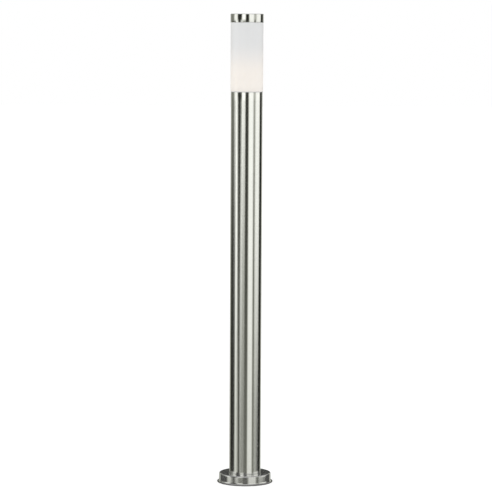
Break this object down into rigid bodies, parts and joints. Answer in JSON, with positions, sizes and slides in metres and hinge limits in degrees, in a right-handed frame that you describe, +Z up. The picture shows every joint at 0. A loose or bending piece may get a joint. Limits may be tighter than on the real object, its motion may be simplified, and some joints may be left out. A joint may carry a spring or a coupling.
{
  "type": "bollard light",
  "caption": "Slim round path light: brushed steel post on a covered round foot, opal cylinder head with a flat steel cap that unscrews for its screw-in lamp.",
  "frame": {"origin": "centre of the foot's underside, on the ground", "axes": "+Z up along the post's axis; the terminal bracket stands on the -X side inside the post"},
  "size_m": [0.1312, 0.1312, 1.1],
  "materials": {
    "satin_stainless": "brushed round the axis",
    "opal_acrylic": "opal, satin",
    "cast_aluminium": "fine cast",
    "black_rubber": "matte",
    "silicone": "matte",
    "plated_steel": "zinc plated",
    "stainless_fixing": "satin",
    "black_polyamide": "moulded",
    "grey_polyamide": "moulded",
    "brass": "machined",
    "nickel_brass": "nickel plated",
    "tinned_copper": "tinned",
    "spring_steel": "drawn",
    "porcelain": "glazed, opaque",
    "sheath_black": "satin",
    "wire_brown": "satin",
    "wire_blue": "satin",
    "wire_green_yellow": "satin, two-colour",
    "lamp_white": "moulded",
    "lamp_globe_opal": "frosted",
    "lamp_screw_nickel": "rolled",
    "black_vitrite": "glossy",
    "board_white": "solder mask",
    "board_green": "solder mask",
    "led_phosphor": "phosphor"
  },
  "bodies": {
    "post": {"ground_gasket": "black_rubber", "base_flange": "cast_aluminium", "pole": "satin_stainless", "pole_screws": "stainless_fixing", "cable_grommet": "black_rubber", "terminal_bracket": "plated_steel", "terminal_bracket_screws": "plated_steel", "terminal_block": "grey_polyamide", "terminal_clamps": "brass", "terminal_screws": "plated_steel", "block_fixing_screws": "plated_steel", "earth_lugs": "tinned_copper", "earth_screws": "plated_steel", "earth_nuts": "plated_steel", "cable_sheath": "sheath_black", "cable_clip": "plated_steel", "cable_clip_screws": "plated_steel", "live_wire": "wire_brown", "neutral_wire": "wire_blue", "earth_wire": "wire_green_yellow", "earth_jumper": "wire_green_yellow", "head_carrier": "black_polyamide", "holder_bracket": "plated_steel", "carrier_screws": "plated_steel", "holder_screws": "plated_steel", "lampholder_body": "porcelain", "lampholder_shell": "nickel_brass", "holder_terminals": "brass", "holder_terminal_screws": "plated_steel", "contact_strip": "nickel_brass", "contact_spring": "spring_steel"},
    "seal": {"head_seal": "silicone"},
    "head": {"head_collar": "grey_polyamide", "diffuser": "opal_acrylic", "top_cap": "satin_stainless", "cap_gasket": "silicone", "cap_stud": "stainless_fixing", "cap_washer": "plated_steel", "cap_nut": "plated_steel"},
    "contact": {"centre_contact": "nickel_brass"},
    "lamp": {"lamp_tip": "tinned_copper", "lamp_insulator": "black_vitrite", "lamp_cap": "lamp_screw_nickel", "lamp_housing": "lamp_white", "lamp_globe": "lamp_globe_opal", "led_board": "board_white", "led_chips": "led_phosphor", "driver_board": "board_green"},
    "cover": {"base_cover": "satin_stainless", "cover_ring": "black_rubber"}
  },
  "joints": [
    {"name": "head_turn", "type": "hinge", "parent": "post", "child": "seal", "pos_m": [0, 0, 0.9197], "axis": [0, 0, 1], "range_deg": [0, 1080]},
    {"name": "head_rise", "type": "slide", "parent": "seal", "child": "head", "axis": [0, 0, 1], "range_m": [0, 0.0121]},
    {"name": "lamp_turn", "type": "hinge", "parent": "post", "child": "contact", "pos_m": [0, 0, 0.871], "axis": [0, 0, 1], "range_deg": [0, 1440]},
    {"name": "lamp_rise", "type": "slide", "parent": "contact", "child": "lamp", "axis": [0, 0, 1], "range_m": [0, 0.0146]},
    {"name": "cover_lift", "type": "slide", "parent": "post", "child": "cover", "axis": [0, 0, 1], "range_m": [0, 0.89]}
  ],
  "couplings": [
    {"joint": "head_rise", "follows": "head_turn", "m_per_rad": 0.00063662},
    {"joint": "lamp_rise", "follows": "lamp_turn", "m_per_rad": 0.00057757}
  ]
}
